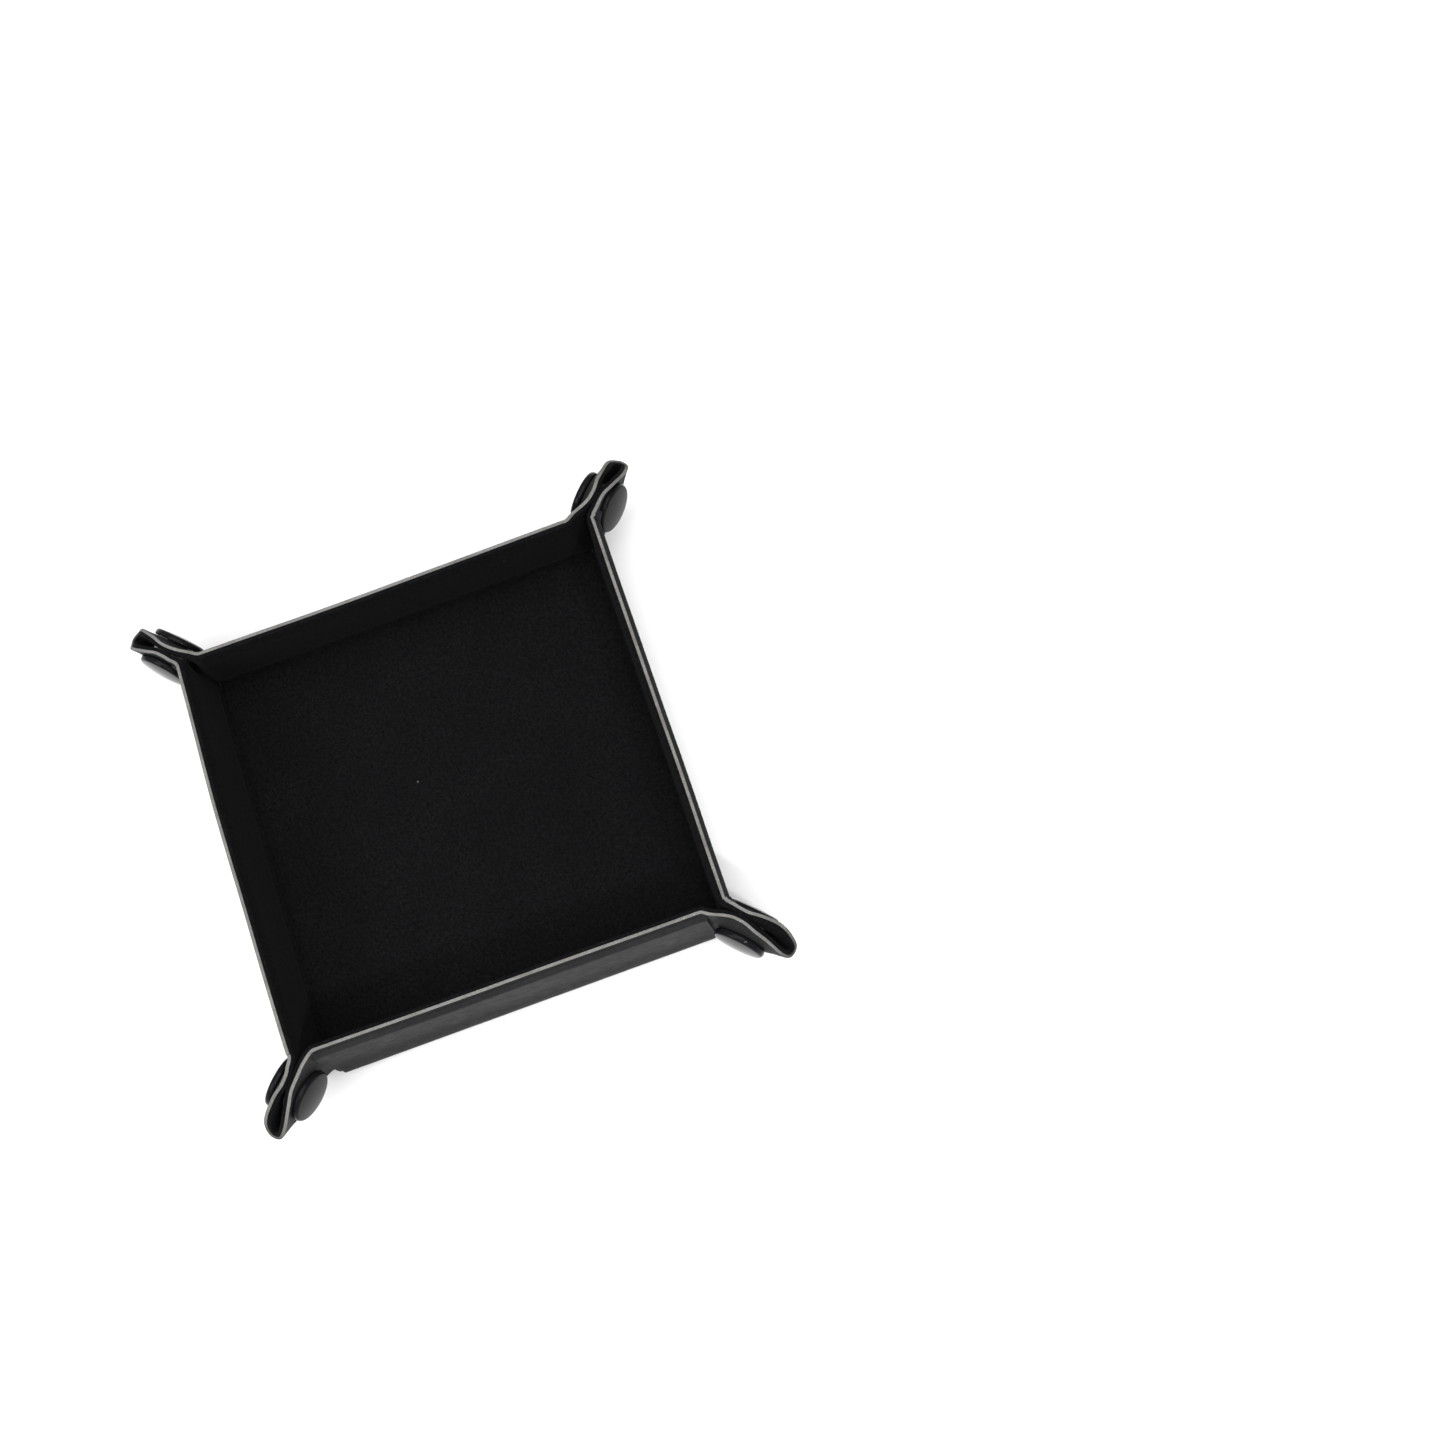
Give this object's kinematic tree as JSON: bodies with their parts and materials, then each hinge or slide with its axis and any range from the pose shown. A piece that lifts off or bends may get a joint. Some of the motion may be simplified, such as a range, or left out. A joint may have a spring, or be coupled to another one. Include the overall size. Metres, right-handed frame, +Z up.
{
  "type": "folding dice tray",
  "caption": "Square felt-lined leather tray with folding walls whose pinched corners close with snap fasteners and open to lie nearly flat.",
  "frame": {"origin": "on the floor under the middle of the base", "axes": "+X along the front wall, +Y towards the back wall, +Z up"},
  "size_m": [0.1352, 0.1352, 0.0268],
  "materials": {
    "leather": "fine-grained matt black",
    "felt": "short-napped black felt",
    "board": "grey-brown pressed fibre board",
    "snap_cap": "gloss black enamel",
    "snap_metal": "blackened steel"
  },
  "bodies": {
    "base": {"base_cover": "leather", "base_board": "board", "base_lining": "felt"},
    "front_wall": {"front_wall_cover": "leather", "front_wall_board": "board", "front_wall_lining": "felt"},
    "back_wall": {"back_wall_cover": "leather", "back_wall_board": "board", "back_wall_lining": "felt"},
    "left_wall": {"left_wall_cover": "leather", "left_wall_board": "board", "left_wall_lining": "felt"},
    "right_wall": {"right_wall_cover": "leather", "right_wall_board": "board", "right_wall_lining": "felt"},
    "front_left_ear_near": {"front_left_ear_near_cover": "leather", "front_left_ear_near_lining": "felt", "front_left_near_snap_cap": "snap_cap", "front_left_snap_socket": "snap_metal"},
    "front_left_ear_far": {"front_left_ear_far_cover": "leather", "front_left_ear_far_lining": "felt", "front_left_far_snap_cap": "snap_cap", "front_left_snap_stud": "snap_metal"},
    "front_right_ear_near": {"front_right_ear_near_cover": "leather", "front_right_ear_near_lining": "felt", "front_right_near_snap_cap": "snap_cap", "front_right_snap_socket": "snap_metal"},
    "front_right_ear_far": {"front_right_ear_far_cover": "leather", "front_right_ear_far_lining": "felt", "front_right_far_snap_cap": "snap_cap", "front_right_snap_stud": "snap_metal"},
    "back_left_ear_near": {"back_left_ear_near_cover": "leather", "back_left_ear_near_lining": "felt", "back_left_near_snap_cap": "snap_cap", "back_left_snap_socket": "snap_metal"},
    "back_left_ear_far": {"back_left_ear_far_cover": "leather", "back_left_ear_far_lining": "felt", "back_left_far_snap_cap": "snap_cap", "back_left_snap_stud": "snap_metal"},
    "back_right_ear_near": {"back_right_ear_near_cover": "leather", "back_right_ear_near_lining": "felt", "back_right_near_snap_cap": "snap_cap", "back_right_snap_socket": "snap_metal"},
    "back_right_ear_far": {"back_right_ear_far_cover": "leather", "back_right_ear_far_lining": "felt", "back_right_far_snap_cap": "snap_cap", "back_right_snap_stud": "snap_metal"}
  },
  "joints": [
    {"name": "front_fold", "type": "hinge", "parent": "base", "child": "front_wall", "pos_m": [0, -0.0542, 0], "axis": [1, 0, 0], "range_deg": [0, 85.5]},
    {"name": "back_fold", "type": "hinge", "parent": "base", "child": "back_wall", "pos_m": [0, 0.0542, 0], "axis": [-1, 0, 0], "range_deg": [0, 85.5]},
    {"name": "left_fold", "type": "hinge", "parent": "base", "child": "left_wall", "pos_m": [-0.0542, 0, 0], "axis": [0, -1, 0], "range_deg": [0, 79.5]},
    {"name": "right_fold", "type": "hinge", "parent": "base", "child": "right_wall", "pos_m": [0.0542, 0, 0], "axis": [0, 1, 0], "range_deg": [0, 79.5]},
    {"name": "front_left_ear_turn", "type": "hinge", "parent": "front_wall", "child": "front_left_ear_near", "pos_m": [-0.04819, -0.053, 0], "axis": [0, 0, -1], "range_deg": [0, 43.2]},
    {"name": "front_left_ear_fold", "type": "hinge", "parent": "front_left_ear_near", "child": "front_left_ear_far", "pos_m": [-0.05485, -0.05485, 0], "axis": [-0.5, -0.5, 0.7071], "range_deg": [0, 171.1]},
    {"name": "front_right_ear_turn", "type": "hinge", "parent": "front_wall", "child": "front_right_ear_near", "pos_m": [0.04819, -0.053, 0], "axis": [0, 0, 1], "range_deg": [0, 43.2]},
    {"name": "front_right_ear_fold", "type": "hinge", "parent": "front_right_ear_near", "child": "front_right_ear_far", "pos_m": [0.05485, -0.05485, 0], "axis": [-0.5, 0.5, -0.7071], "range_deg": [0, 171.1]},
    {"name": "back_left_ear_turn", "type": "hinge", "parent": "back_wall", "child": "back_left_ear_near", "pos_m": [-0.04819, 0.053, 0], "axis": [0, 0, 1], "range_deg": [0, 43.2]},
    {"name": "back_left_ear_fold", "type": "hinge", "parent": "back_left_ear_near", "child": "back_left_ear_far", "pos_m": [-0.05485, 0.05485, 0], "axis": [0.5, -0.5, -0.7071], "range_deg": [0, 171.1]},
    {"name": "back_right_ear_turn", "type": "hinge", "parent": "back_wall", "child": "back_right_ear_near", "pos_m": [0.04819, 0.053, 0], "axis": [0, 0, -1], "range_deg": [0, 43.2]},
    {"name": "back_right_ear_fold", "type": "hinge", "parent": "back_right_ear_near", "child": "back_right_ear_far", "pos_m": [0.05485, 0.05485, 0], "axis": [0.5, 0.5, 0.7071], "range_deg": [0, 171.1]}
  ],
  "couplings": [
    {"joint": "back_fold", "follows": "front_fold", "ratio": 1},
    {"joint": "left_fold", "follows": "front_fold", "ratio": 0.92982},
    {"joint": "right_fold", "follows": "front_fold", "ratio": 0.92982},
    {"joint": "front_left_ear_turn", "follows": "front_fold", "ratio": 0.50409},
    {"joint": "front_left_ear_fold", "follows": "front_fold", "ratio": 2},
    {"joint": "front_right_ear_turn", "follows": "front_fold", "ratio": 0.50409},
    {"joint": "front_right_ear_fold", "follows": "front_fold", "ratio": 2},
    {"joint": "back_left_ear_turn", "follows": "front_fold", "ratio": 0.50409},
    {"joint": "back_left_ear_fold", "follows": "front_fold", "ratio": 2},
    {"joint": "back_right_ear_turn", "follows": "front_fold", "ratio": 0.50409},
    {"joint": "back_right_ear_fold", "follows": "front_fold", "ratio": 2}
  ]
}
